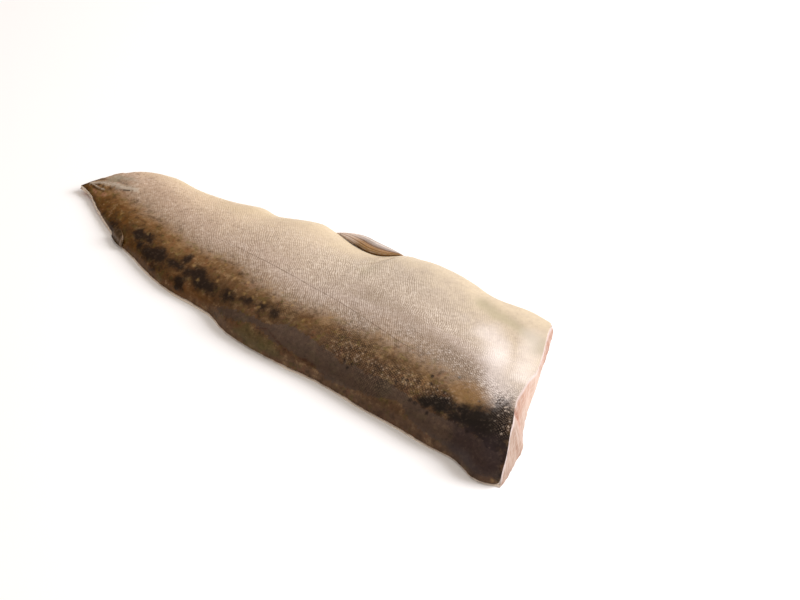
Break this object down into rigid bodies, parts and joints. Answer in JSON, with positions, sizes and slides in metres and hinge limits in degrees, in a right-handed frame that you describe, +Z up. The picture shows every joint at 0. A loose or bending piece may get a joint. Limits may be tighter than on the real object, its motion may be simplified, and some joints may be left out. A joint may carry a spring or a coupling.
{
  "type": "raw arctic char fillet",
  "caption": "Raw skin-on fish fillet lying skin side up: a tapering slab of flesh, thick loin and thin belly wall, under speckled skin, with a folded pelvic fin.",
  "frame": {"origin": "under the middle of the fillet's box, on the surface that it lies on", "axes": "+X from the tail to the head end, +Y from the back edge to the belly edge, +Z up"},
  "size_m": [0.401, 0.1498, 0.025],
  "materials": {
    "flesh": "raw orange-pink fish flesh, moist, in fine slanting flakes",
    "skin": "wet scaled fish skin, brown back to silver flank to cream belly",
    "pelvic_fin": "wet grey and olive-brown fin skin over soft rays",
    "adipose_fin": "wet dark olive skin"
  },
  "bodies": {
    "root": {"flesh": "flesh", "skin": "skin", "pelvic_fin": "pelvic_fin", "adipose_fin": "adipose_fin"}
  },
  "joints": []
}
